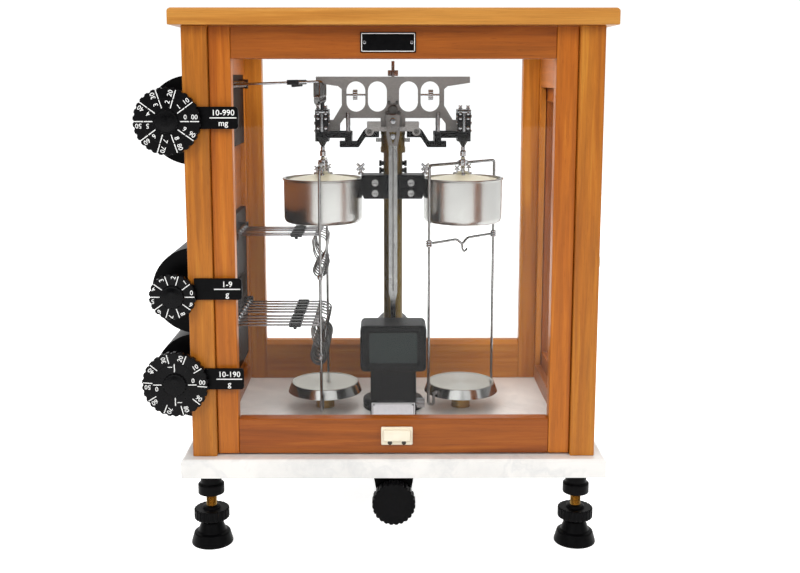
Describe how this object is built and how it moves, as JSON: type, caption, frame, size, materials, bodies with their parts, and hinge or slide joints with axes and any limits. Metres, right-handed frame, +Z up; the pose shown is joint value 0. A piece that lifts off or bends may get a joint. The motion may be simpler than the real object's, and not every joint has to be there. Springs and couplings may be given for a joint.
{
  "type": "laboratory balance",
  "caption": "Two-pan analytical balance in a glazed wooden case on a marble slab, with dial-loaded ring weights, air dampers and an optical scale.",
  "frame": {"origin": "under the middle of the overall box, on the table", "axes": "+X to the right seen from the front, +Y to the back, +Z up"},
  "size_m": [0.4337, 0.308, 0.507],
  "materials": {
    "marble": "polished",
    "pale_wood": "varnished",
    "wood": "varnished",
    "side_wood": "varnished",
    "frame_wood": "varnished",
    "pane_glass": "clear",
    "black_enamel": "gloss",
    "black_plastic": "gloss",
    "bronze": "satin",
    "chrome_metal": "polished",
    "spun_aluminium": "brushed",
    "pale_aluminium": "satin",
    "plate_silver": "satin",
    "plate_black": "gloss",
    "cream_plastic": "gloss",
    "steel_wire": "polished",
    "brass_metal": "satin",
    "foot_brass": "satin",
    "beam_metal": "matte",
    "agate": "polished",
    "dark_metal": "satin",
    "pan_steel": "spun",
    "screen_glass": "ground"
  },
  "bodies": {
    "case": {"base_slab": "marble", "top_board": "pale_wood", "corner_posts": "wood", "rear_frame": "wood", "side_rails": "side_wood", "rear_pane": "pane_glass", "lever_boards": "black_enamel", "dial_housings": "black_enamel", "index_tabs": "black_plastic", "column_tube": "bronze", "column_head": "bronze", "damper_bracket": "black_enamel", "bracket_screws": "chrome_metal", "damper_cups": "spun_aluminium", "bubble_level": "black_enamel", "knob_bracket": "black_enamel", "foot_sockets": "black_enamel", "lamp_housing": "black_enamel", "screen_housing": "black_enamel", "data_plate": "plate_silver"},
    "sash": {"sash_frame": "frame_wood", "sash_pane": "pane_glass", "sash_pull": "cream_plastic", "name_plate": "plate_black"},
    "door": {"door_frame": "frame_wood", "door_pane": "pane_glass", "door_knob": "cream_plastic"},
    "knob": {"arrest_knob": "black_plastic"},
    "lift": {"lift_rod": "steel_wire", "pan_rests": "brass_metal"},
    "left_arm": {"left_arm": "black_enamel"},
    "right_arm": {"right_arm": "black_enamel"},
    "beam": {"beam_frame": "beam_metal", "knife_edges": "agate", "pointer": "steel_wire"},
    "left_nut": {"left_balance_nut": "brass_metal"},
    "right_nut": {"right_balance_nut": "brass_metal"},
    "top_nut": {"sensitivity_nut": "brass_metal"},
    "left_pan_set": {"left_stirrup": "dark_metal", "left_hanger": "steel_wire", "left_damper_bell": "pale_aluminium", "left_pan": "pan_steel"},
    "right_pan_set": {"right_stirrup": "dark_metal", "right_hanger": "steel_wire", "right_damper_bell": "pale_aluminium", "right_pan": "pan_steel"},
    "screen": {"screen_glass": "screen_glass"},
    "zero": {"zero_knob": "chrome_metal"},
    "left_foot": {"left_foot_cup": "black_enamel"},
    "left_wheel": {"left_foot_screw": "foot_brass"},
    "right_foot": {"right_foot_cup": "black_enamel"},
    "right_wheel": {"right_foot_screw": "foot_brass"},
    "mg_dial": {"mg_dial": "black_plastic"},
    "mg_centre": {"mg_centre_dial": "black_plastic"},
    "gram_dial": {"gram_dial": "black_plastic"},
    "ten_dial": {"ten_gram_dial": "black_plastic"},
    "ten_centre": {"ten_gram_centre_dial": "black_plastic"},
    "mg_lever_row": {"mg_levers": "steel_wire"},
    "gram_lever_row": {"gram_levers": "steel_wire"},
    "ten_lever_row": {"ten_gram_levers": "steel_wire"}
  },
  "joints": [
    {"name": "sash_slide", "type": "slide", "parent": "case", "child": "sash", "axis": [0, 0, 1], "range_m": [0, 0.2]},
    {"name": "door_slide", "type": "slide", "parent": "case", "child": "door", "axis": [0, 1, 0], "range_m": [0, 0.18]},
    {"name": "knob_turn", "type": "hinge", "parent": "case", "child": "knob", "pos_m": [0.0169, -0.154, 0.048], "axis": [0, 1, 0], "range_deg": [0, 90]},
    {"name": "lift_drop", "type": "slide", "parent": "case", "child": "lift", "axis": [0, 0, -1], "range_m": [0, 0.0035]},
    {"name": "left_arm_swing", "type": "hinge", "parent": "case", "child": "left_arm", "pos_m": [-0.0076, 0.016, 0.3903], "axis": [0, 1, 0], "range_deg": [-3, 0]},
    {"name": "right_arm_swing", "type": "hinge", "parent": "case", "child": "right_arm", "pos_m": [0.0414, 0.016, 0.3903], "axis": [0, 1, 0], "range_deg": [0, 3]},
    {"name": "beam_tilt", "type": "hinge", "parent": "case", "child": "beam", "pos_m": [0.0169, 0.016, 0.4], "axis": [0, 1, 0], "range_deg": [-0.5, 0.5]},
    {"name": "left_nut_turn", "type": "hinge", "parent": "beam", "child": "left_nut", "pos_m": [-0.0226, 0.016, 0.428], "axis": [1, 0, 0], "continuous": true},
    {"name": "right_nut_turn", "type": "hinge", "parent": "beam", "child": "right_nut", "pos_m": [0.0564, 0.016, 0.428], "axis": [1, 0, 0], "continuous": true},
    {"name": "top_nut_turn", "type": "hinge", "parent": "beam", "child": "top_nut", "pos_m": [0.0169, 0.016, 0.45], "axis": [0, 0, 1], "continuous": true},
    {"name": "left_hang", "type": "hinge", "parent": "beam", "child": "left_pan_set", "pos_m": [-0.0571, 0.016, 0.4], "axis": [0, 1, 0], "range_deg": [-0.5, 0.5]},
    {"name": "right_hang", "type": "hinge", "parent": "beam", "child": "right_pan_set", "pos_m": [0.0909, 0.016, 0.4], "axis": [0, 1, 0], "range_deg": [-0.5, 0.5]},
    {"name": "zero_turn", "type": "hinge", "parent": "case", "child": "zero", "pos_m": [0.0369, -0.0505, 0.115], "axis": [1, 0, 0], "range_deg": [-180, 180]},
    {"name": "screen_shift", "type": "slide", "parent": "case", "child": "screen", "axis": [1, 0, 0], "range_m": [-0.001, 0.001]},
    {"name": "left_foot_slide", "type": "slide", "parent": "case", "child": "left_foot", "axis": [0, 0, 1], "range_m": [-0.004, 0.004]},
    {"name": "left_wheel_turn", "type": "hinge", "parent": "left_foot", "child": "left_wheel", "pos_m": [-0.1591, -0.127, 0.03], "axis": [0, 0, 1], "range_deg": [-1440, 1440]},
    {"name": "right_foot_slide", "type": "slide", "parent": "case", "child": "right_foot", "axis": [0, 0, 1], "range_m": [-0.004, 0.004]},
    {"name": "right_wheel_turn", "type": "hinge", "parent": "right_foot", "child": "right_wheel", "pos_m": [0.1929, -0.127, 0.03], "axis": [0, 0, 1], "range_deg": [-1440, 1440]},
    {"name": "mg_dial_turn", "type": "hinge", "parent": "case", "child": "mg_dial", "pos_m": [-0.1861, -0.141, 0.407], "axis": [0, 1, 0], "continuous": true},
    {"name": "mg_centre_turn", "type": "hinge", "parent": "case", "child": "mg_centre", "pos_m": [-0.1861, -0.141, 0.407], "axis": [0, 1, 0], "continuous": true},
    {"name": "gram_dial_turn", "type": "hinge", "parent": "case", "child": "gram_dial", "pos_m": [-0.1861, -0.141, 0.247], "axis": [0, 1, 0], "continuous": true},
    {"name": "ten_dial_turn", "type": "hinge", "parent": "case", "child": "ten_dial", "pos_m": [-0.1861, -0.141, 0.164], "axis": [0, 1, 0], "continuous": true},
    {"name": "ten_centre_turn", "type": "hinge", "parent": "case", "child": "ten_centre", "pos_m": [-0.1861, -0.141, 0.164], "axis": [0, 1, 0], "continuous": true},
    {"name": "mg_lever_drop", "type": "hinge", "parent": "case", "child": "mg_lever_row", "pos_m": [-0.1461, 0.016, 0.439], "axis": [0, 1, 0], "range_deg": [0, 1.6]},
    {"name": "gram_lever_drop", "type": "hinge", "parent": "case", "child": "gram_lever_row", "pos_m": [-0.1461, 0.016, 0.284], "axis": [0, 1, 0], "range_deg": [0, 1.6]},
    {"name": "ten_lever_drop", "type": "hinge", "parent": "case", "child": "ten_lever_row", "pos_m": [-0.1461, 0.016, 0.195], "axis": [0, 1, 0], "range_deg": [0, 1.6]}
  ],
  "couplings": [
    {"joint": "knob_turn", "follows": "lift_drop", "rad_per_m": 448.8},
    {"joint": "left_arm_swing", "follows": "lift_drop", "rad_per_m": -14.96},
    {"joint": "right_arm_swing", "follows": "lift_drop", "rad_per_m": 14.96},
    {"joint": "left_hang", "follows": "beam_tilt", "ratio": -1},
    {"joint": "right_hang", "follows": "beam_tilt", "ratio": -1},
    {"joint": "zero_turn", "follows": "screen_shift", "rad_per_m": 3141.6},
    {"joint": "left_wheel_turn", "follows": "left_foot_slide", "rad_per_m": 6283.2},
    {"joint": "right_wheel_turn", "follows": "right_foot_slide", "rad_per_m": 6283.2}
  ]
}
